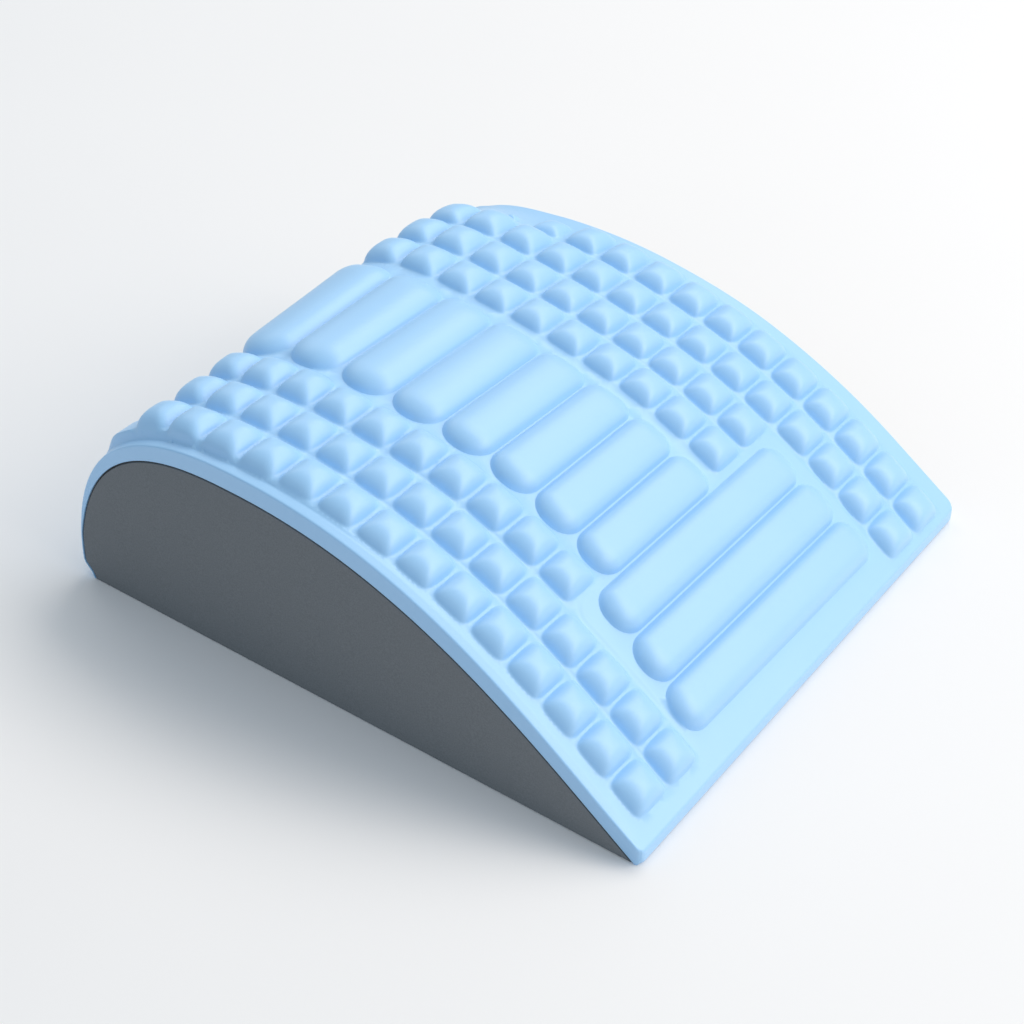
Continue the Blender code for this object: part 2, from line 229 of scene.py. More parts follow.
def half_width_at(x):
    """Half the block's width at x: it narrows evenly from the toe to the heel."""
    return TOE_WIDTH / 2 + (HEEL_WIDTH - TOE_WIDTH) / 2 * (0.5 - x / LENGTH)


def across_from(u, y):
    """The mat's own v of a place at a true distance y from the middle line."""
    return y * TOE_WIDTH / 2 / half_width_at(arch_at(u)[0].x)


def true_y(u, v):
    """The true distance from the middle line of a place on the mat."""
    return v * half_width_at(arch_at(u)[0].x) / (TOE_WIDTH / 2)


def drawn_in(u, y):
    """How far the near knobs of the last rows stand in from their columns, nearest the rim most."""
    return DRAWN_IN * climb(u, *DRAWN_IN_ROWS) * climb(y, *DRAWN_IN_COLUMNS)


def from_pattern(u, y):
    """The mat's own u and v of a place in the pattern, which leans but doesn't narrow."""
    leaning_u = u - LEAN_ACROSS * y
    y += drawn_in(u, y)
    return leaning_u, across_from(leaning_u, y + LEAN_ALONG * (u - LEAN_FROM))


crown = max(ARCH, key=lambda point: point.y)
print("at the crown the mat is", round(2 * half_width_at(crown.x) / MM, 1), "mm wide")

# %% [markdown]
# ## The plan of the knobs
#
# The knobs stand in straight rows and columns along both sides, closer together along the arch than
# across it. Two columns on each side run from the toe, and the inner ones start behind the long
# bars. An Array modifier could repeat one knob, but rows that follow an arch and stop in different
# places are easier to count out in a loop.
#
# Each knob is kept as a small record: where its middle is, how far it reaches along and across, and
# how deep it is sunk.

# %% Lay out the knobs
PLAIN_BACK = 111.0 * MM
KNOB_HEIGHT = 6.5 * MM
KNOB_VALLEY = 4.2 * MM
BAR_VALLEY = 2.4 * MM
BAR_PITCH = 25.9 * MM
BAR_FIRST_VALLEY = 15.2 * MM
LONG_BARS = 3
LONG_BARS_END = BAR_FIRST_VALLEY + LONG_BARS * BAR_PITCH - BAR_VALLEY / 2

NEAR_FIELD = dict(side=-1, rim=13.1 * MM, across=25.2 * MM, along=22.4 * MM, first=9.3 * MM, long=2, short=1)
FAR_FIELD = dict(side=1, rim=13.4 * MM, across=26.7 * MM, along=22.6 * MM, first=8.0 * MM, long=2, short=2)


def column_inside(field, count):
    """Where the given number of columns ends towards the middle."""
    return field["side"] * (TOE_WIDTH / 2 - field["rim"] - count * field["across"] + KNOB_VALLEY)


def lay_out_knobs(field):
    """Middle, half length, half width and sunk depth of each knob along one side."""
    length = field["along"] - KNOB_VALLEY
    width = field["across"] - KNOB_VALLEY
    rows = 1 + int((ARCH_LENGTH - PLAIN_BACK - field["first"] - length) / field["along"])
    behind_bars = math.ceil((LONG_BARS_END + KNOB_VALLEY - field["first"]) / field["along"])
    knobs = []
    for column in range(field["long"] + field["short"]):
        y = column_inside(field, column + 1) + field["side"] * width / 2
        for row in range(0 if column < field["long"] else behind_bars, rows):
            u = field["first"] + row * field["along"] + length / 2
            knobs.append((u, y, length / 2, width / 2, 0.0))
    return knobs


near_knobs = lay_out_knobs(NEAR_FIELD)
far_knobs = lay_out_knobs(FAR_FIELD)
print(len(near_knobs), "knobs near,", len(far_knobs), "knobs far")

# %% [markdown]
# ## The knobs that the rim swallows
#
# At the far corner of the back, the rim swallows the end of the outermost column: the first of its
# last three knobs is sunk and smaller, only a nub shows of the next, and the third is gone. Their
# records are changed before anything is built, so that the mesh needs no cutting.

# %% Sink the far corner
SUNK_KNOB_INWARDS = 3.0 * MM
SUNK_KNOB_LENGTH = 0.9
SUNK_KNOB_WIDTH = 0.8
SUNK_KNOB_DEPTH = 2.2 * MM
NUB_FORWARDS = 1.0 * MM
NUB_INWARDS = 9.2 * MM
NUB_HALF_LENGTH = 3.6 * MM
NUB_HALF_WIDTH = 3.2 * MM
NUB_DEPTH = 4.2 * MM


def sink_far_corner(knobs):
    """Lets the last three knobs of the outermost far column sink into the rim, one after the other."""
    outermost = max(y for _, y, _, _, _ in knobs)
    column = sorted(knob for knob in knobs if knob[1] == outermost)
    kept = [knob for knob in knobs if knob not in column[-3:]]
    u, y, half_length, half_width, _ = column[-3]
    half_length *= SUNK_KNOB_LENGTH
    half_width *= SUNK_KNOB_WIDTH
    kept.append((u, y - SUNK_KNOB_INWARDS, half_length, half_width, SUNK_KNOB_DEPTH))
    u, y, _, _, _ = column[-2]
    kept.append((u - NUB_FORWARDS, y - NUB_INWARDS, NUB_HALF_LENGTH, NUB_HALF_WIDTH, NUB_DEPTH))
    return kept


knobs = near_knobs + sink_far_corner(far_knobs)
print(len(knobs), "knobs in all")

# %% [markdown]
# ## The plan of the bars
#
# Three long bars lie across the toe end, each a little shorter than the one before, and short ones
# carry on over the crown. Their near ends are round and their far ends squarer. Their lengths and
# pitches change by even steps, so they too are laid out in a loop. Each bar is a record with its
# near and far ends and the radius of its corners there.

# %% Lay out the bars
BAR_HEIGHT = 6.3 * MM
BAR_PITCH_GROWTH = 0.9 * MM
BAR_FAR_CORNER = 8.0 * MM
BAR_NEAR_ROUNDNESS = 0.92
LONG_BAR_NEAR_GAP = 6.2 * MM
LONG_BAR_FAR_GAP = 8.6 * MM
LONG_BAR_NEAR_STEP = 4.0 * MM
LONG_BAR_FAR_STEP = 2.1 * MM
SHORT_BAR_NEAR_GAP = 4.0 * MM
SHORT_BAR_FAR_GAP = 8.2 * MM


def lay_out_bars():
    """Middle, half length along the arch, near and far end, and corner radii of each bar."""
    long_near = column_inside(NEAR_FIELD, NEAR_FIELD["long"]) + LONG_BAR_NEAR_GAP
    long_far = column_inside(FAR_FIELD, FAR_FIELD["long"]) - LONG_BAR_FAR_GAP
    short_near = column_inside(NEAR_FIELD, NEAR_FIELD["long"] + NEAR_FIELD["short"]) + SHORT_BAR_NEAR_GAP
    short_far = column_inside(FAR_FIELD, FAR_FIELD["long"] + FAR_FIELD["short"]) - SHORT_BAR_FAR_GAP
    bars = []
    valley = BAR_FIRST_VALLEY
    pitch = BAR_PITCH
    while valley + pitch < ARCH_LENGTH - PLAIN_BACK:
        count = len(bars)
        ends = (short_near, short_far)
        if count < LONG_BARS:
            ends = (long_near + LONG_BAR_NEAR_STEP * count, long_far - LONG_BAR_FAR_STEP * count)
        half = (pitch - BAR_VALLEY) / 2
        bars.append((valley + pitch / 2, half, *ends, BAR_NEAR_ROUNDNESS * half, BAR_FAR_CORNER))
        valley += pitch
        if count >= LONG_BARS:
            pitch += BAR_PITCH_GROWTH
    return bars


bars = lay_out_bars()
print(len(bars), "bars")

# %% [markdown]
# ## The height of a pillow
#
# Knobs and bars are small foam pillows: full in the middle, round at the shoulders, and running
# into the mat in a small hollow. A subdivided cube gives a pillow too, but not this hollow. So the
# height is a formula of the distance from the edge. Softening that distance makes the hollow: it
# bends where a plain distance has a corner. The hollow dies out in the apron, a narrow strip round
# the pad.

# %% Profile of a pillow
APRON = 0.5 * MM
FOOT_HOLLOW = 0.4 * MM
KNOB_SHOULDER = 2.5
KNOB_FLATNESS = 1.45


def soften(distance):
    """The distance inside an edge, rounded off where it reaches zero."""
    return (distance + math.hypot(distance, FOOT_HOLLOW)) / 2 - (math.hypot(APRON, FOOT_HOLLOW) - APRON) / 2


def pillow(share, shoulder, flatness):
    """How high a pillow stands, from 1 in its middle (share 0) to 0 at its edge (share 1)."""
    return (1 - min(max(share, 0), 1) ** shoulder) ** (1 / flatness)


print(f"half way out, a knob stands at {pillow(0.5, KNOB_SHOULDER, KNOB_FLATNESS):.2f} of its height")

# %% [markdown]
# ## The shape of a knob
#
# A knob is something between a pyramid and a dome. Cut level, it is a square with rounded corners at
# its foot and almost a circle at its tip. A superellipse goes from one to the other by one number,
# its power, so each knob is a stack of such rings.

# %% Rings of a knob
KNOB_FOOT_POWER = 5.5
KNOB_TIP_POWER = 2.3
KNOB_RIDGE_FADING = 1.3
FOOT_SPREAD = 0.95 * MM
RING_POINTS = 36
CORNER_GATHERING = 0.12
SUNK_SOFTNESS = 0.5 * MM
KNOB_INSETS = (0.0, 0.025, 0.055, 0.1, 0.17, 0.26, 0.37, 0.49, 0.61, 0.73, 0.84, 0.93)


def ring_angle(step):
    """Even turns, drawn together towards the four corners."""
    turn = 2 * math.pi * step / RING_POINTS
    return turn + CORNER_GATHERING * math.sin(4 * turn)


def emerge(rise, sunk):
    """What is left of a rise when the whole knob is sunk, with a soft line round it."""
    left = rise - sunk
    return (left + math.hypot(left, SUNK_SOFTNESS)) / 2 if sunk else rise


def knob_rings(u, y, half_length, half_width, sunk):
    """The rings of one knob, each a list of places with their rise, from its apron to its tip."""
    half_length += FOOT_SPREAD
    half_width += FOOT_SPREAD
    half = min(half_length, half_width)
    rings = []
    for inset in (-APRON / half, *KNOB_INSETS):
        share = 1 - inset
        power = KNOB_TIP_POWER + (KNOB_FOOT_POWER - KNOB_TIP_POWER) * min(share, 1) ** KNOB_RIDGE_FADING
        rise = KNOB_HEIGHT * pillow(1 - soften(inset * half) / half, KNOB_SHOULDER, KNOB_FLATNESS)
        rise = emerge(rise, sunk)
        ring = []
        for step in range(RING_POINTS):
            along = math.cos(ring_angle(step))
            across = math.sin(ring_angle(step))
            reach = share * (abs(along) ** power + abs(across) ** power) ** (-1 / power)
            ring.append((u + half_length * along * reach, y + half_width * across * reach, rise))
        rings.append(ring)
    return rings, (u, y, emerge(KNOB_HEIGHT, sunk))


print("a knob has", len(KNOB_INSETS) + 1, "rings of", RING_POINTS, "points")

# %% [markdown]
# ## The shape of a bar
#
# A bar is a long pillow: steep at its sides, with full shoulders and an almost flat top. Its rings
# are the outline drawn inwards. Their corners grow rounder on the way up, so that the ends close
# like the end of a sausage and not like a hipped roof.

# %% Rings of a bar
BAR_SHOULDER = 2.7
BAR_FLATNESS = 1.65
BAR_SPREAD = 0.25 * MM
BAR_CORNER_STEPS = 7
BAR_INSETS = (0.0, 0.015, 0.04, 0.08, 0.14, 0.22, 0.32, 0.44, 0.57, 0.71, 0.85, 0.95)


def bar_rings(u, half, near, far, near_corner, far_corner):
    """The rings of one bar, from its apron to the ridge along its middle."""
    half += BAR_SPREAD
    near -= BAR_SPREAD
    far += BAR_SPREAD
    rings = []
    for share_in in (-APRON / half, *BAR_INSETS):
        inset = share_in * half
        rise = BAR_HEIGHT * pillow(1 - soften(inset) / half, BAR_SHOULDER, BAR_FLATNESS)
        grown = max(share_in, 0)
        ring = []
        for quarter, (corner_u, corner_y, radius) in enumerate((
            (half, far, far_corner), (-half, far, far_corner),
            (-half, near, near_corner), (half, near, near_corner),
        )):
            inward = -1 if corner_y == far else 1
            roundness = radius / half
            radius = (half - inset) * (roundness + (1 - roundness) * grown)
            middle_u = corner_u - math.copysign(inset + radius, corner_u)
            middle_y = corner_y + inward * (inset + radius)
            for step in range(BAR_CORNER_STEPS + 1):
                angle = math.pi / 2 * (quarter + step / BAR_CORNER_STEPS)
                place_u = u + middle_u + radius * math.cos(angle)
                place_y = middle_y + radius * math.sin(angle)
                ring.append((place_u, place_y, rise))
        rings.append(ring)
    return rings


print("a bar has", len(BAR_INSETS) + 1, "rings of", 4 * (BAR_CORNER_STEPS + 1), "points")

# %% [markdown]
# ## The ground under the long bars
#
# The mat between its knobs isn't quite level. Its height could be sculpted by hand, or pushed about
# by a Displace modifier. Here it is a sum of a few smooth rises, each a small function of the place
# on the mat, so that every one can be looked at and set alone.
#
# The first is a low plateau round the long bars, a rectangle with rounded corners that fades out
# towards the toe.

# %% Rise of the plateau
PLATEAU_RISE = 0.5 * MM
PLATEAU_NEAR = -89.5 * MM
PLATEAU_FAR = 86.0 * MM
PLATEAU_END = 96.5 * MM
PLATEAU_CORNER = 9.0 * MM
PLATEAU_EDGE = 3.0 * MM
PLATEAU_FROM_TOE = (8.0 * MM, 32.0 * MM)


def plateau(u, v):
    """The raised ground round the long bars, fading out towards the toe."""
    y = true_y(u, v)
    across = abs(y - (PLATEAU_NEAR + PLATEAU_FAR) / 2) - (PLATEAU_FAR - PLATEAU_NEAR) / 2 + PLATEAU_CORNER
    along = u - PLATEAU_END + PLATEAU_CORNER
    outside = math.hypot(max(across, 0), max(along, 0)) + min(max(across, along), 0) - PLATEAU_CORNER
    return PLATEAU_RISE * climb(outside, PLATEAU_EDGE / 2, -PLATEAU_EDGE / 2) * climb(u, *PLATEAU_FROM_TOE)


print(f"rise under the long bars: {plateau(60 * MM, 0) / MM:.2f} mm")

# %% [markdown]
# ## The field behind the crown
#
# Behind the crown the mat is thicker under its pattern than along its rims. The field swells most
# in its middle. It begins at the near rim with a step and runs out smoothly into the far rim, and
# on the back its far half is lifted further.

# %% Swell and lift of the field
SWELL_RISE = 8.6 * MM
SWELL_ALONG = (155.0 * MM, 355.0 * MM)
SWELL_MIDDLE = -25.0 * MM
NEAR_THINNING = 0.4
NEAR_THINNING_ACROSS = (-6.0 * MM, -128.0 * MM)
FAR_THINNING = 0.15
FAR_THINNING_ACROSS = (40.0 * MM, 120.0 * MM)
STEP_FOOT = -147.3 * MM
STEP_WIDTH = 2.3 * MM
FAR_RIM_ACROSS = (155.0 * MM, 115.0 * MM)
LIFT_RISE = 5.4 * MM
LIFT_ALONG = (258.0 * MM, 316.0 * MM)
LIFT_ACROSS = (-25.0 * MM, 50.0 * MM)
LIFT_BY_RIM = (145.0 * MM, 85.0 * MM)


def swell(u, v):
    """The field behind the crown, fullest in its middle."""
    if v < SWELL_MIDDLE:
        fullness = 1 - NEAR_THINNING * climb(v, *NEAR_THINNING_ACROSS)
    else:
        fullness = 1 - FAR_THINNING * climb(v, *FAR_THINNING_ACROSS)
    near = climb(v, STEP_FOOT, STEP_FOOT + STEP_WIDTH)
    return SWELL_RISE * climb(u, *SWELL_ALONG) * fullness * near * climb(v, *FAR_RIM_ACROSS)


def lift(u, v):
    """How much higher the field's far half stands on the back."""
    return LIFT_RISE * climb(u, *LIFT_ALONG) * climb(v, *LIFT_ACROSS) * climb(v, *LIFT_BY_RIM)


for u in (200, 260, 320):
    rise = swell(u * MM, 0) + lift(u * MM, 0)
    print(f"the field stands {rise / MM:.1f} mm high at u = {u} mm")

# %% [markdown]
# ## Where the field ends
#
# The field ends in a slope where the plain back begins. Close to the near rim it ends a little
# later, and leaves a ledge between the last knobs and the rim. From the middle of the ramp on, its
# far half sags.

# %% End and sag of the field
FIELD_END = 331.0 * MM
FIELD_END_SLOPE = 12.0 * MM
LEDGE_END = 353.0 * MM
LEDGE_SLOPE_GAIN = 0.4
LEDGE_ACROSS = (-116.0 * MM, -134.0 * MM)
SAG = 1.7 * MM
SAG_ALONG = (140.0 * MM, 200.0 * MM)
SAG_ACROSS = (0.0, 35.0 * MM)


def field_left(u, v):
    """Falls from 1 to 0 where the field ends; by the near rim it ends later, as a ledge."""
    ledge = climb(v, *LEDGE_ACROSS)
    end = FIELD_END + (LEDGE_END - FIELD_END) * ledge
    return climb(u, end, end - FIELD_END_SLOPE * (1 + LEDGE_SLOPE_GAIN * ledge))


def raised_field(u, v):
    """How far the field behind the crown stands off the arch line."""
    sag = SAG * climb(u, *SAG_ALONG) * climb(v, *SAG_ACROSS)
    return (swell(u, v) + lift(u, v) - sag) * field_left(u, v)


for u in (315, 325, 335):
    print(f"at u = {u} mm the field is {raised_field(u * MM, 0) / MM:.1f} mm high")

# %% [markdown]
# ## The last unevenness
#
# Foam never lies quite true. Over the crown the far side droops, one place on the ramp lies a
# little proud, and the near rim falls away towards its edge.

# %% Droop, proud place, fall of the rim, and their sum
DROOP = 4.2 * MM
DROOP_ALONG = (50.0 * MM, 170.0 * MM)
DROOP_ACROSS = (8.0 * MM, 158.0 * MM)
DROOP_END = 285.0 * MM
DROOP_END_RUN = 55.0 * MM
DROOP_END_BY_RIM = 42.0 * MM
DROOP_RIM = (100.0 * MM, 140.0 * MM)
PROUD_U = 175.0 * MM
PROUD_V = -62.0 * MM
PROUD_REACH = 60.0 * MM
PROUD_RISE = 2.2 * MM
RIM_FALL = 0.7 * MM
RIM_FALL_FROM = 147.6 * MM
RIM_FALL_FROM_TOE = (0.0, 25.0 * MM)


def droop(u, v):
    """How far the far side hangs lower over the crown."""
    end = DROOP_END + DROOP_END_BY_RIM * climb(v, *DROOP_RIM)
    along = climb(u, *DROOP_ALONG) * climb(u, end, end - DROOP_END_RUN)
    return DROOP * along * climb(v, *DROOP_ACROSS)


def proud(u, v):
    """A place on the ramp where the mat lies a little proud."""
    return PROUD_RISE * climb(math.hypot(u - PROUD_U, v - PROUD_V), PROUD_REACH, 0)


def rim_fall(u, v):
    """How far the near rim falls away towards its edge."""
    share = max((-v - RIM_FALL_FROM) / (TOE_WIDTH / 2 - RIM_FALL_FROM), 0)
    return RIM_FALL * share * climb(u, *RIM_FALL_FROM_TOE)


def ground(u, v):
    """How far the mat between its knobs stands off the arch line."""
    return plateau(u, v) + raised_field(u, v) + proud(u, v) - droop(u, v) - rim_fall(u, v)


print(f"droop over the crown by the far rim: {droop(230 * MM, 140 * MM) / MM:.1f} mm")

# %% [markdown]
# ## Stations round the mat
#
# The mat is a closed strip seen from the side: its sole at the toe, a rounded foot, the toe's face,
# a rounded edge, and the arch down to the heel. A station is one place on that line, with the point
# on the outside and the one facing it on the inside. Round the toe all of them face one point, where
# the mat's inside meets the floor. A few extra ones close behind the toe's edge keep it crisp.

# %% Walk round the outside
TOE_ROUNDING = 2.4 * MM
TOE_STEPS = 6
STATION_PITCH = 3.0 * MM
CLOSE_STATIONS = (0, 0.33, 0.67, 1, 1.33, 1.67)
RAMP_PLACE = 20.0 * MM
INNER_FOOT = Vector((LENGTH / 2 - TOE_SOLE, 0))


def toe_arc(before, corner, after, radius, steps):
    """Points of a round corner between two straight sides."""
    to_before = (before - corner).normalized()
    to_after = (after - corner).normalized()
    half = to_before.angle(to_after) / 2
    centre = corner + (to_before + to_after).normalized() * radius / math.sin(half)
    start = (corner + to_before * radius / math.tan(half) - centre).normalized()
    end = (corner + to_after * radius / math.tan(half) - centre).normalized()
    return [centre + start.slerp(end, step / steps).normalized() * radius for step in range(steps + 1)]


def stations():
    """Outer point, inner point and u of every station; u is None round the toe."""
    toe_foot = Vector((LENGTH / 2, 0))
    toe_top = ARCH[0]
    ramp = arch_at(RAMP_PLACE)[0]
    foot = toe_arc(INNER_FOOT, toe_foot, toe_top, TOE_ROUNDING, TOE_STEPS)
    edge = toe_arc(toe_foot, toe_top, ramp, TOE_ROUNDING, TOE_STEPS)
    around = [INNER_FOOT, *foot, foot[-1].lerp(edge[0], 0.5), *edge[:-1]]
    walked = [(point, INNER_FOOT, None) for point in around]
    start = (edge[-1] - toe_top).length
    count = math.ceil((ARCH_LENGTH - start) / STATION_PITCH)
    pitch = (ARCH_LENGTH - start) / count
    close = [start + pitch * share for share in CLOSE_STATIONS]
    for u in close + [start + pitch * step for step in range(2, count + 1)]:
        point, normal = arch_at(u)
        walked.append((point, point - normal * mat_thickness(u), u))
    return walked


STATIONS = stations()
print(len(STATIONS), "stations")

# %% [markdown]
# ## From the flat plan to the block
#
# The block is wider at the toe than at the heel, and its two toe corners are rounded. Both are
# easier to apply at the end, to every point of every piece alike: what lies side by side in the
# plan then stays side by side on the block. A corner is rounded by pulling a square patch of the
# plan into a quarter circle. The height follows the ramp, so that the top stays flat.

# %% Taper and corners
NEAR_TOE_CORNER = 3.5 * MM
FAR_TOE_CORNER = 5.0 * MM


def ramp_height(x):
    """Height of the ramp's plane near the toe."""
    return ARCH[0].y + (LENGTH / 2 - x) * math.tan(RAMP_ANGLE)


def on_block(x, v, z):
    """The place in the model of a point at x and z in the side view and v across."""
    half_width = half_width_at(x)
    y = v * half_width / (TOE_WIDTH / 2)
    radius = FAR_TOE_CORNER if v > 0 else NEAR_TOE_CORNER
    along = (x - LENGTH / 2) / radius + 1
    across = (abs(y) - half_width) / radius + 1
    if along > 0 and across > 0:
        pull = max(along, across) / math.hypot(along, across)
        rounded_x = LENGTH / 2 - radius + along * pull * radius
        z *= ramp_height(rounded_x) / ramp_height(x)
        x = rounded_x
        y = math.copysign(half_width - radius + across * pull * radius, y)
    return Vector((x, y, z))


def on_mat(u, v, rise):
    """The place in the model of a point on the mat."""
    point, normal = arch_at(u)
    place = point + normal * rise
    return on_block(place.x, v, place.y)


far_corner = on_block(LENGTH / 2, TOE_WIDTH / 2, 0)
print("the toe's far corner is at", [round(value / MM, 1) for value in far_corner], "mm")

# %% [markdown]
# ## Columns across the mat
#
# Cut across at a station, the mat is a long flat strip. Over its top and its underside the points
# stand in columns, wide apart in the middle and close together by the rims, where the ground's
# height changes most.

# %% Places of the columns
RIM_STRIP = 1.9 * MM
CLOSE_COLUMNS = [place * MM for place in (0.0, 1.0, 2.2, 3.6, 5.4)]
CLOSE_STRIP = 8.0 * MM
OPEN_COLUMNS = 30


def column_places():
    """Places across the top, close together by the rims."""
    window_half = TOE_WIDTH / 2 - RIM_STRIP
    open_half = window_half - CLOSE_STRIP
    middle = [open_half * (2 * step / OPEN_COLUMNS - 1) for step in range(OPEN_COLUMNS + 1)]
    close = [window_half - place for place in CLOSE_COLUMNS]
    return [-place for place in close] + middle + close[::-1]


COLUMN_PLACES = column_places()
COLUMNS = len(COLUMN_PLACES) - 1
print(len(COLUMN_PLACES), "columns")

# %% [markdown]
# ## The side wall of the mat
#
# The mat's outer edges are rounded, its lower edges just broken, and its side walls straight. A
# Bevel modifier could round the edges too, but not where the mat gets thinner than its bevel, so
# the roundings are part of the wall and shrink with it. Extra points beside them keep the flat
# parts flat in smooth shading.

# %% Points down the wall
RIM_ROUNDING = 0.9 * MM
RIM_STEPS = 5
LOWER_ROUNDING = 0.45 * MM
LOWER_STEPS = 3
SUPPORT = 0.4 * MM
RIM_SHARE = 0.35
LOWER_SHARE = 0.15
SUPPORT_SHARE = 0.1


def far_wall(depth):
    """Places down the far wall, as distance across and depth, from the top to the underside."""
    half = TOE_WIDTH / 2
    rim = min(RIM_ROUNDING, depth * RIM_SHARE)
    lower = min(LOWER_ROUNDING, depth * LOWER_SHARE)
    support = min(SUPPORT, depth * SUPPORT_SHARE)
    wall = []
    for step in range(RIM_STEPS + 1):
        angle = math.pi / 2 * step / RIM_STEPS
        wall.append((half - rim * (1 - math.sin(angle)), rim * (1 - math.cos(angle))))
    wall.append((half, rim + support))
    wall.append((half, depth - lower - support))
    for step in range(LOWER_STEPS + 1):
        angle = math.pi / 2 * step / LOWER_STEPS
        wall.append((half - lower * (1 - math.cos(angle)), depth - lower * (1 - math.sin(angle))))
    return wall


print("a wall has", len(far_wall(MAT_AT_CROWN)), "points")

# %% [markdown]
# ## One slice of the mat
#
# A slice is a closed loop of points: over the top from near to far, down the far wall, back
# underneath, and up the near wall. The ground's rise is added here, in full on top and less and
# less down the wall, so that the underside stays on the glue.

# %% Slices at all stations
def slice_at(outer, inner, u):
    """The closed loop of points of one slice."""
    depth = (inner - outer).length
    inward = (inner - outer).normalized()
    wall = far_wall(depth)
    top = [(v, 0.0) for v in COLUMN_PLACES]
    under = [(v, depth) for v in reversed(COLUMN_PLACES)]
    loop = top + wall + under + [(-v, down) for v, down in reversed(wall)]
    places = []
    for v, down in loop:
        raised = ground(u, v) * (1 - down / depth) if u is not None else 0.0
        point = outer + inward * (down - raised)
        places.append(on_block(point.x, v, point.y))
    return places


mat = bmesh.new()
grid = [[mat.verts.new(place) for place in slice_at(*station)] for station in STATIONS]
print(len(grid), "slices of", len(grid[0]), "points")

# %% [markdown]
# ## Cut the window for the pattern
#
# The plain parts of the mat are a grid of four-sided faces between neighbouring slices. Knobs could
# be joined on by boolean unions, but a hundred of those leave ragged seams. So where the knobs and
# bars stand, the grid's top is left open like a window, and the pattern is set into it.

# %% Faces of the plain mat
WINDOW_START = 3.0 * MM
WINDOW_END = 366.0 * MM
on_arch = [(k, u) for k, (_, _, u) in enumerate(STATIONS) if u is not None]
window_first = next(k for k, u in on_arch if u > WINDOW_START)
window_last = next(k for k, u in on_arch if u > WINDOW_END)
around_slice = len(grid[0])
for k in range(len(grid) - 1):
    for m in range(around_slice):
        if window_first <= k < window_last and m < COLUMNS:
            continue
        beyond = (m + 1) % around_slice
        mat.faces.new((grid[k][m], grid[k][beyond], grid[k + 1][beyond], grid[k + 1][m]))
mat.faces.new(grid[-1])
window = [round(STATIONS[k][2] / MM, 1) for k in (window_first, window_last)]
print("window from", window[0], "to", window[1], "mm")

# %% [markdown]
# ## Raise the knobs and bars
#
# Each pad, as knobs and bars are called here, is lofted from ring to ring. Only the outer edge of
# its apron touches the ground between the pads, so that ring is remembered in a flat plan for the
# next step. Every point is also given a number that says how high on its pad it lies, which the
# material uses later. A number on the points follows the form exactly, where a painted image would
# have to be fitted.

# %% Loft a pad
plan = []
plan_verts = []
aprons = []
heights = {}


def lay(vert, u, v):
    """Adds a point of the ground's plan."""
    plan.append((u, v))
    plan_verts.append(vert)


def raise_pad(rings, tip, full_height):
    """Builds one pad from its rings and remembers its apron."""
    lofted = []
    for ring in rings:
        row = []
        for pattern_u, y, rise in ring:
            u, v = from_pattern(pattern_u, y)
            vert = mat.verts.new(on_mat(u, v, ground(u, v) + rise))
            heights[vert] = rise / full_height
            row.append(vert)
        lofted.append(row)
    first = len(plan)
    count = len(rings[0])
    for (u, y, _), vert in zip(rings[0], lofted[0]):
        lay(vert, *from_pattern(u, y))
    aprons.append([first + k for k in range(count)])
    for lower, upper in zip(lofted, lofted[1:]):
        for k in range(count):
            beyond = (k + 1) % count
            mat.faces.new((lower[k], lower[beyond], upper[beyond], upper[k]))
    if tip is None:
        mat.faces.new(lofted[-1])
        return
    pattern_u, y, rise = tip
    u, v = from_pattern(pattern_u, y)
    peak = mat.verts.new(on_mat(u, v, ground(u, v) + rise))
    heights[peak] = rise / full_height
    for k in range(count):
        mat.faces.new((lofted[-1][k], lofted[-1][(k + 1) % count], peak))


print("the mat has", len(mat.faces), "faces before its pads")

# %% [markdown]
# ## All the pads
#
# The records of the knobs and bars are now gone through, and each becomes a pad. Where a pad lies
# and how far it reaches is kept, so that no ground point is put under it.

# %% Raise them all
pads = []
for knob in knobs:
    rings, tip = knob_rings(*knob)
    raise_pad(rings, tip, KNOB_HEIGHT)
    pads.append(knob[:4])
for bar in bars:
    raise_pad(bar_rings(*bar), None, BAR_HEIGHT)
    u, half, near, far = bar[:4]
    pads.append((u, (near + far) / 2, half, (far - near) / 2))
print(len(pads), "pads,", len(plan), "points on their aprons")

# %% [markdown]
# ## Fill in the ground between them
#
# The ground is a sheet with a hundred holes, one under each pad. Delaunay triangulation can fill it,
# since it joins given points into the best-shaped triangles. The aprons' points alone would leave
# long, flat triangles, so more points are sprinkled wherever no pad stands.

# %% Sprinkle a point
CLEAR_OF_PAD = 1.4 * MM


def under_a_pad(u, v):
    """Whether a place lies under a pad or close to one."""
    y = true_y(u, v) - LEAN_ALONG * (u - LEAN_FROM)
    pattern_u = u + LEAN_ACROSS * y
    y -= drawn_in(pattern_u, y)
    return any(
        abs(pattern_u - middle_u) < half_u + CLEAR_OF_PAD and abs(y - middle_y) < half_y + CLEAR_OF_PAD
        for middle_u, middle_y, half_u, half_y in pads
    )


def sprinkle(u, v):
    """Adds a ground point, unless a pad covers it."""
    if not under_a_pad(u, v):
        lay(mat.verts.new(on_mat(u, v, ground(u, v))), u, v)


print("a place in the first long bar is under a pad:", under_a_pad(BAR_FIRST_VALLEY + BAR_PITCH / 2, 0))

# %% [markdown]
# ## Points along the plateau's end
#
# A height can only change where the mesh has points. The plateau's edge is just a few millimetres
# wide, so it gets five close rows of them, which follow its upper edge and its round corners.

# %% Sprinkle the plateau's end
EDGE_OFFSETS = (-0.6, -0.3, 0.0, 0.3, 0.6)
PLATEAU_CORNER_STEPS = 8
PLATEAU_END_STEPS = 40


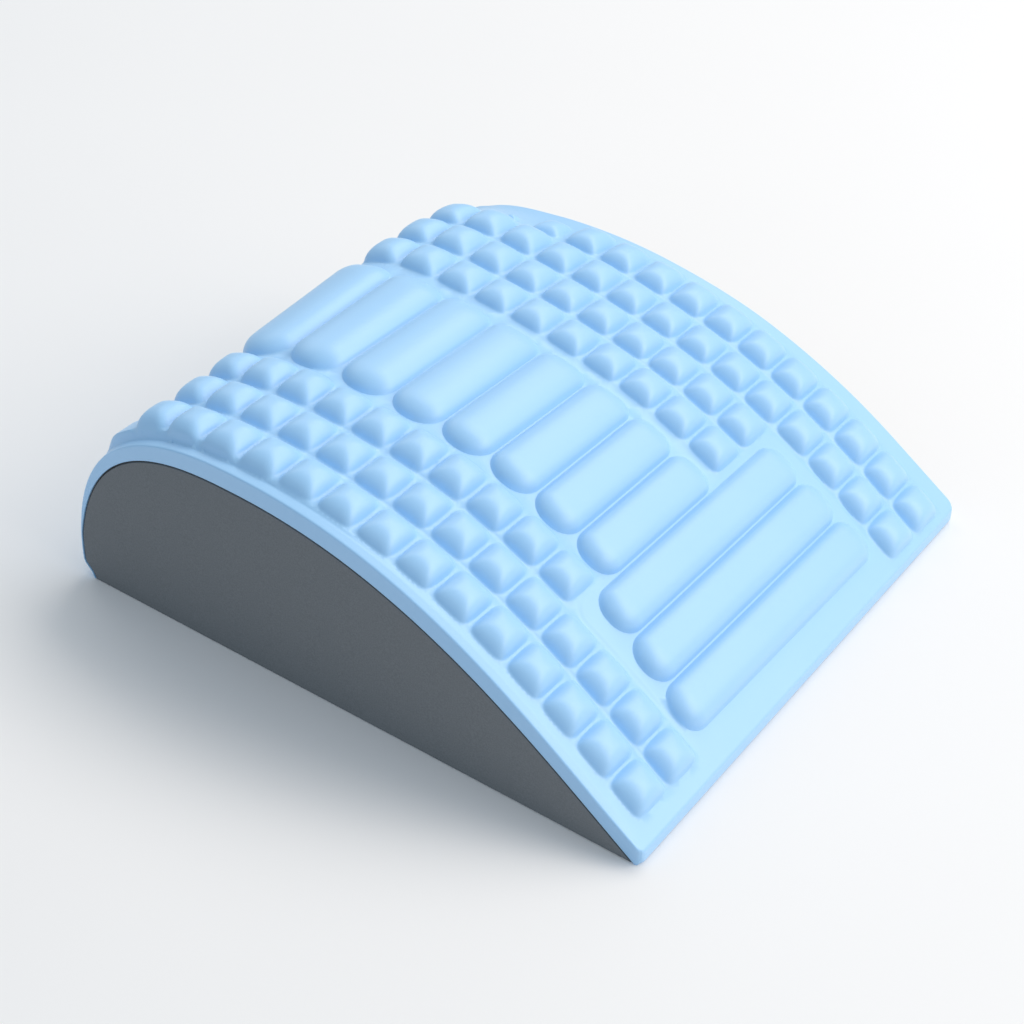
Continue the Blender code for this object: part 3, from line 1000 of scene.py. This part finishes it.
def sprinkle_plateau_end():
    """Points close together along the plateau's round upper corners and its upper edge."""
    near = PLATEAU_NEAR + PLATEAU_CORNER
    far = PLATEAU_FAR - PLATEAU_CORNER
    for offset in EDGE_OFFSETS:
        radius = PLATEAU_CORNER + offset * PLATEAU_EDGE
        for middle, side in ((near, -1), (far, 1)):
            for step in range(PLATEAU_CORNER_STEPS + 1):
                angle = math.pi / 2 * step / PLATEAU_CORNER_STEPS
                u = PLATEAU_END - PLATEAU_CORNER + radius * math.sin(angle)
                sprinkle(u, across_from(u, middle + side * radius * math.cos(angle)))
        for step in range(1, PLATEAU_END_STEPS):
            share = step / PLATEAU_END_STEPS
            y = near * (1 - share) + far * share
            u = PLATEAU_END + offset * PLATEAU_EDGE
            sprinkle(u, across_from(u, y))


sprinkle_plateau_end()
print(len(plan), "points with the plateau's end")

# %% [markdown]
# ## Points of the window
#
# The window's own frame is made of points that the plain mat already has, so that both share them.
# Inside it, each station gets a point in every column, a close row along the near rim's step and,
# by the long bars, close rows along the plateau's sides.

# %% Sprinkle the window
STEP_OFFSETS = (*EDGE_OFFSETS, 0.9, 1.2, 1.7, 2.3, 3.0)

for k in range(window_first, window_last + 1):
    u = STATIONS[k][2]
    inner_columns = range(1, COLUMNS)
    on_frame = k in (window_first, window_last)
    for m in (0, COLUMNS, *inner_columns) if on_frame else (0, COLUMNS):
        lay(grid[k][m], u, COLUMN_PLACES[m])
    if on_frame:
        continue
    for m in inner_columns:
        sprinkle(u, COLUMN_PLACES[m])
    for offset in STEP_OFFSETS:
        sprinkle(u, STEP_FOOT + offset * STEP_WIDTH)
    for edge in (PLATEAU_NEAR, PLATEAU_FAR):
        if u < PLATEAU_END - PLATEAU_CORNER:
            for offset in EDGE_OFFSETS:
                sprinkle(u, across_from(u, edge + offset * PLATEAU_EDGE))
print(len(plan), "points in the plan")

# %% [markdown]
# ## Join the ground's points
#
# The triangulation works on the flat plan, and its triangles are then made between the bent points.
# It is given each apron as a face, keeps the aprons' edges, and says for every triangle which apron
# covers it. Those triangles would lie hidden under the pads, so they are left out.

# %% Triangles of the ground
SAME_PLACE = 1e-5

flat = [Vector((u / MM, v / MM)) for u, v in plan]
_, _, joined, came_from, _, under_aprons = delaunay_2d_cdt(flat, [], aprons, 0, SAME_PLACE, True)
ground_faces = 0
for triangle, covered in zip(joined, under_aprons):
    if covered:
        continue
    mat.faces.new([plan_verts[came_from[k][0]] for k in triangle])
    ground_faces += 1
print(ground_faces, "triangles of open ground")

# %% [markdown]
# ## Close the mat
#
# Round the toe many points fall on each other, because all its stations face the same inner point.
# They are merged, and so are the window's columns with the points sprinkled on them. Those that lie
# under a pad belong to no face and are deleted. The normals are made to point outwards, and a count
# of open edges proves that the mat is one closed skin.

# %% Merge, turn and count
WELD = 0.002 * MM

bmesh.ops.remove_doubles(mat, verts=mat.verts, dist=WELD)
loose = [vert for vert in mat.verts if not vert.link_faces]
bmesh.ops.delete(mat, geom=loose, context="VERTS")
bmesh.ops.recalc_face_normals(mat, faces=mat.faces)
open_edges = sum(1 for edge in mat.edges if not edge.is_manifold)
print("mat:", len(mat.verts), "points,", len(mat.faces), "faces,", open_edges, "open edges")

# %% [markdown]
# ## Make it an object
#
# A bmesh is only a draft: an object needs a mesh made from it. Smooth shading hides the facets, and
# edges that turn more than a given angle stay sharp. The numbers that say how high a point lies are
# stored with the mesh. The walls, the underside and the toe have one of their own, which keeps them
# out of the painted valley light and the paler tips.

# %% Finish the mat
WALL_NUMBER = 0.3


def new_piece(name, shape, sharp_angle):
    """Turns a finished shape into an object with smooth shading, but for its sharp edges."""
    mesh = bpy.data.meshes.new(name)
    shape.to_mesh(mesh)
    shape.free()
    mesh.shade_smooth()
    mesh.set_sharp_from_angle(angle=math.radians(sharp_angle))
    piece = bpy.data.objects.new(name, mesh)
    bpy.context.scene.collection.objects.link(piece)
    return piece


for station, ring in zip(STATIONS, grid):
    for vert in ring[0 if station[2] is None else COLUMNS + 1:]:
        heights[vert] = WALL_NUMBER
height_layer = mat.verts.layers.float.new("pad_height")
for vert, height in heights.items():
    if vert.is_valid:
        vert[height_layer] = height
mat_piece = new_piece("moulded_mat", mat, 50)
print(mat_piece.name, "measures", [round(side / MM, 1) for side in mat_piece.dimensions], "mm")

# %% [markdown]
# ## The line under the mat
#
# The block and the strip of glue are plain: an outline seen from the side, stretched across. They
# could be cut from a cube with the mat as the cutter, but the mat's own formula gives the line below
# it exactly.

# %% Follow the mat's inside
BLOCK_STATIONS = 180


def line_below(extra, floor):
    """The line that runs below the mat by extra, cut off at the floor height."""
    reach = 2 * MAT_AT_TOE
    points = []
    for step in range(BLOCK_STATIONS + 1):
        u = -reach + (ARCH_LENGTH + 2 * reach) * step / BLOCK_STATIONS
        point, normal = arch_at(u)
        points.append(point - normal * (mat_thickness(u) + extra))
    inside = [k for k, point in enumerate(points) if point.y > floor]
    ends = []
    for above, below in ((inside[0], inside[0] - 1), (inside[-1], inside[-1] + 1)):
        share = (points[above].y - floor) / (points[above].y - points[below].y)
        ends.append(points[above].lerp(points[below], share))
    return [ends[0], *points[inside[0]:inside[-1] + 1], ends[1]]


inside_line = line_below(0.0, 0.0)
print("the mat's inside meets the floor at x =", [round(inside_line[k].x / MM, 1) for k in (0, -1)], "mm")

# %% [markdown]
# ## The block and the glue
#
# An outline becomes a solid with two caps and a band round them. The edges of the caps are bevelled
# on request, before the block's taper is applied to every point. The block gets softly broken edges.
# The glue stops a little short of the sides, so that it shows only as a dark line in the joint, and
# ends a little above the floor.

# %% Build the block and the glue
CLEARANCE = 0.3 * MM
FILM_THICKNESS = 0.25 * MM
FILM_RECESS = 0.8 * MM
FILM_LIFT = 0.5 * MM
BLOCK_EDGE = 0.5 * MM


def stretched(outline, width, edge):
    """An outline stretched across the block, with its side edges broken."""
    shape = bmesh.new()
    sides = []
    for v in (-width / 2, width / 2):
        sides.append([shape.verts.new((point.x, v, point.y)) for point in outline])
    caps = [shape.faces.new(side) for side in sides]
    count = len(outline)
    for k in range(count):
        beyond = (k + 1) % count
        shape.faces.new((sides[0][k], sides[0][beyond], sides[1][beyond], sides[1][k]))
    bmesh.ops.recalc_face_normals(shape, faces=shape.faces)
    if edge:
        rims = [rim for cap in caps for rim in cap.edges]
        bmesh.ops.bevel(shape, geom=rims, offset=edge, segments=2, profile=0.5, affect="EDGES",
                        clamp_overlap=False)
    for vert in shape.verts:
        vert.co = on_block(vert.co.x, vert.co.y, vert.co.z)
    return shape


core_line = line_below(2 * CLEARANCE + FILM_THICKNESS, 0.0)
core_piece = new_piece("foam_block", stretched(core_line, TOE_WIDTH, BLOCK_EDGE), 30)
film_top = line_below(CLEARANCE, FILM_LIFT)
film_bottom = line_below(CLEARANCE + FILM_THICKNESS, FILM_LIFT)
film_shape = stretched(film_top + film_bottom[::-1], TOE_WIDTH - 2 * FILM_RECESS, 0)
film_piece = new_piece("glue_line", film_shape, 30)
print("block:", len(core_piece.data.vertices), "points; glue:", len(film_piece.data.vertices), "points")

# %% [markdown]
# ## Put the pieces in the frame
#
# Each piece stands for one solid, which it hides, and rides on the part's only body.

# %% Tell the frame about them
for piece, node, slot in (
    (mat_piece, "massage_mat", "mat_foam"),
    (core_piece, "foam_core", "core_foam"),
    (film_piece, "adhesive_film", "adhesive"),
):
    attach(piece, "root")
    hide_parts(node)

# %% [markdown]
# ## Tools for finishes
#
# A finish is a small network of nodes round one shader. It could be wired by hand in the Shader
# Editor, but in a script the same few steps come back in each finish, so they get a function each.

# %% Helpers for materials
def new_material(name):
    """A new material and its shader."""
    made = bpy.data.materials.new(name)
    made.use_nodes = True
    shader = made.node_tree.nodes["Principled BSDF"]
    return made, shader


def add_node(made, kind, **settings):
    """A node with its plain settings and the values of its sockets."""
    node = made.node_tree.nodes.new(kind)
    for key, value in settings.items():
        if key.startswith("in_"):
            node.inputs[key[3:].replace("_", " ")].default_value = value
        else:
            setattr(node, key, value)
    return node


def wire(made, source, target):
    """Links an output to an input."""
    made.node_tree.links.new(source, target)


print("helpers:", new_material.__name__, add_node.__name__, wire.__name__)

# %% [markdown]
# ## Noise, colour and bump
#
# Every finish here starts from noise. It lies in the object's own space, so that it stays put from
# any side and needs no unwrapping. A ramp turns it into a colour between two close shades, and a
# bump turns it into tiny hills that only the light sees.

# %% Helpers for unevenness
NOISE_LOW = 0.3
NOISE_HIGH = 0.7


def noise(made, scale, detail, roughness=0.5):
    """Cloudy noise in the object's own space, with a scale in features per metre."""
    place = add_node(made, "ShaderNodeTexCoord")
    cloud = add_node(made, "ShaderNodeTexNoise", in_Scale=scale, in_Detail=detail, in_Roughness=roughness)
    wire(made, place.outputs["Object"], cloud.inputs["Vector"])
    return cloud.outputs["Fac"]


def ramp(made, factor, dark, light):
    """A colour that goes from dark to light over the noise's usual range."""
    node = add_node(made, "ShaderNodeValToRGB")
    node.color_ramp.elements[0].position = NOISE_LOW
    node.color_ramp.elements[0].color = (*dark, 1)
    node.color_ramp.elements[1].position = NOISE_HIGH
    node.color_ramp.elements[1].color = (*light, 1)
    wire(made, factor, node.inputs["Fac"])
    return node.outputs["Color"]


def bump(made, height, strength, depth):
    """Tiny hills of the given depth."""
    node = add_node(made, "ShaderNodeBump", in_Strength=strength, in_Distance=depth)
    wire(made, height, node.inputs["Height"])
    return node.outputs["Normal"]


print("helpers:", noise.__name__, ramp.__name__, bump.__name__)

# %% [markdown]
# ## The colour of the mat
#
# The mat is a closed-cell foam. Its blue is even, with faint clouding from the mould. It is painted
# paler in the valleys, as painted light that lifts the shade between the knobs, and it is paler again
# towards the tips. The number stored on the mesh says where: a ramp turns it into a share of the pale
# blue, full in the valleys, none on the slopes and strong again on the tips.

# %% The mat's colour, with painted light in its valleys
PAINTED_LIGHT_VALLEY_END = 0.09
TIP_START = 0.6
TIP_SHARE = 0.8

blue, blue_shader = new_material("mat_foam_with_painted_light")
clouds = noise(blue, scale=18, detail=3)
slope_blue = ramp(blue, clouds, (0.27, 0.553, 0.9), (0.286, 0.568, 0.915))
# Painted light: this paler blue lightens the shade in the valleys between the knobs; it also makes the tips
# paler.
painted_valley_light_and_tip_blue = ramp(blue, clouds, (0.365, 0.635, 0.935), (0.38, 0.645, 0.945))
height = add_node(blue, "ShaderNodeAttribute", attribute_name="pad_height")
# The share of the painted valley light and of the paler tips, by height on the pad.
painted_light_and_tip_share = blue.node_tree.nodes.new("ShaderNodeValToRGB")
painted_light_and_tip_share.color_ramp.elements[0].color = (1, 1, 1, 1)
painted_light_and_tip_share.color_ramp.elements[1].color = (TIP_SHARE, TIP_SHARE, TIP_SHARE, 1)
for place in (PAINTED_LIGHT_VALLEY_END, TIP_START):
    painted_light_and_tip_share.color_ramp.elements.new(place).color = (0, 0, 0, 1)
wire(blue, height.outputs["Fac"], painted_light_and_tip_share.inputs["Fac"])
mixed = add_node(blue, "ShaderNodeMix", data_type="RGBA")
wire(blue, painted_light_and_tip_share.outputs["Color"], mixed.inputs["Factor"])
wire(blue, slope_blue, mixed.inputs["A"])
wire(blue, painted_valley_light_and_tip_blue, mixed.inputs["B"])
wire(blue, mixed.outputs["Result"], blue_shader.inputs["Base Color"])
print("the mat's colour has", len(blue.node_tree.nodes), "nodes")

# %% [markdown]
# ## The skin of the mat
#
# Its skin is satin, with a grain so fine that it only breaks up the gloss. The same noise sets the
# roughness and a shallow bump, so that both belong together. A little sheen stands for the dusty
# bloom that soft foam has when it is seen from the side.

# %% The mat's gloss and grain
grain = noise(blue, scale=900, detail=2)
gloss = add_node(blue, "ShaderNodeMapRange", in_To_Min=0.38, in_To_Max=0.46)
wire(blue, grain, gloss.inputs["Value"])
wire(blue, gloss.outputs["Result"], blue_shader.inputs["Roughness"])
wire(blue, bump(blue, grain, strength=0.15, depth=0.1 * MM), blue_shader.inputs["Normal"])
blue_shader.inputs["Specular IOR Level"].default_value = 0.8
blue_shader.inputs["Sheen Weight"].default_value = 0.15
blue_shader.inputs["Sheen Roughness"].default_value = 0.5
mat_piece.data.materials.append(blue)
print(blue.name, "is on", mat_piece.name)

# %% [markdown]
# ## The finish of the block
#
# The block is cut foam: dull, dark grey, and open at its surface, with cells a fraction of a
# millimetre across. Modelled cells would take millions of faces, and a fine noise is enough: it
# drives both the tone and the bump, so that the pits are the darker places.

# %% The block's material
grey, grey_shader = new_material("core_foam_finish")
cells = noise(grey, scale=1400, detail=3, roughness=0.6)
tone = ramp(grey, cells, (0.168, 0.175, 0.185), (0.21, 0.22, 0.231))
wire(grey, tone, grey_shader.inputs["Base Color"])
wire(grey, bump(grey, cells, strength=0.3, depth=0.15 * MM), grey_shader.inputs["Normal"])
grey_shader.inputs["Roughness"].default_value = 0.9
grey_shader.inputs["Specular IOR Level"].default_value = 0.25
core_piece.data.materials.append(grey)
print(grey.name, "is on", core_piece.name)

# %% [markdown]
# ## The finish of the glue
#
# The glue shows only as a thin, almost black line. Even so it isn't one flat colour: dried glue is
# wavy and half glossy, which a coarser noise gives.

# %% The glue's material
dark, dark_shader = new_material("adhesive_finish")
flow = noise(dark, scale=300, detail=2)
glue_colour = ramp(dark, flow, (0.02, 0.024, 0.03), (0.035, 0.04, 0.05))
wire(dark, glue_colour, dark_shader.inputs["Base Color"])
wire(dark, bump(dark, flow, strength=0.3, depth=0.1 * MM), dark_shader.inputs["Normal"])
dark_shader.inputs["Roughness"].default_value = 0.55
film_piece.data.materials.append(dark)
print("materials:", [made.name for made in (blue, grey, dark)])

# %% [markdown]
# ## The floor
#
# The object stands on a plain pale floor that reaches past the picture's edges and keeps its soft
# shadow. It could be curved up into a backdrop, but from this high a flat one fills the picture. It
# lies a hair below the block, so that the two don't share a plane.

# %% Floor
FLOOR_SIZE = 12.0
FLOOR_DROP = 0.05 * MM

floor_shape = bmesh.new()
bmesh.ops.create_grid(floor_shape, x_segments=2, y_segments=2, size=FLOOR_SIZE / 2)
floor = new_piece("floor", floor_shape, 30)
floor.location.z = -FLOOR_DROP
white, white_shader = new_material("floor_finish")
dust = noise(white, scale=3, detail=2)
floor_colour = ramp(white, dust, (0.918, 0.876, 0.867), (0.928, 0.886, 0.877))
wire(white, floor_colour, white_shader.inputs["Base Color"])
white_shader.inputs["Roughness"].default_value = 0.6
white_shader.inputs["Specular IOR Level"].default_value = 0.2
floor.data.materials.append(white)
print("floor:", FLOOR_SIZE, "m square")

# %% [markdown]
# ## The lamps
#
# Large lamps give soft shadows. The key lamp is a long panel high behind the far side. It models
# the knobs: their faces turned to the near side stay darker. Three weaker ones stand round the
# object: one off its far toe corner, one beyond the toe and one behind the heel, which opens the
# shade on the floor. All are slightly warm.

# %% Lamps
LAMP_COLOUR = (1.0, 0.95, 0.87)
LAMP_AIM = Vector((0.0, 0.0, 0.05))


def soft_lamp(name, place, width, height, power):
    """A soft lamp that faces the middle of the object."""
    light = bpy.data.lights.new(name, "AREA")
    light.shape = "RECTANGLE"
    light.size = width
    light.size_y = height
    light.energy = power
    light.color = LAMP_COLOUR
    lamp = bpy.data.objects.new(name, light)
    lamp.location = place
    lamp.rotation_mode = "QUATERNION"
    lamp.rotation_quaternion = (LAMP_AIM - Vector(place)).to_track_quat("-Z", "Y")
    bpy.context.scene.collection.objects.link(lamp)


soft_lamp("key_lamp", place=(0.5, 1.7, 2.6), width=3.6, height=1.4, power=50.0)
soft_lamp("side_lamp", place=(2.2, 1.2, 1.7), width=1.6, height=1.6, power=23.5)
soft_lamp("end_lamp", place=(2.7, 0.0, 1.65), width=1.6, height=1.6, power=15.5)
soft_lamp("heel_lamp", place=(-2.3, 1.3, 2.2), width=1.6, height=1.6, power=9.0)

# %% [markdown]
# ## The light of the room
#
# The world is an even, slightly blue light that fills the shade, as a bright room does. An image of
# a real room would give more varied light, but also its own colours and reflections. The view
# transform is set to Standard, so that a colour shows as it is written.

# %% World and view
SKY_COLOUR = (0.71, 0.87, 1.0, 1)
SKY_STRENGTH = 0.55

world = bpy.data.worlds.new("studio")
world.use_nodes = True
world.node_tree.nodes["Background"].inputs["Color"].default_value = SKY_COLOUR
world.node_tree.nodes["Background"].inputs["Strength"].default_value = SKY_STRENGTH
bpy.context.scene.world = world
bpy.context.scene.view_settings.view_transform = "Standard"
print("world:", world.name, "at strength", SKY_STRENGTH)
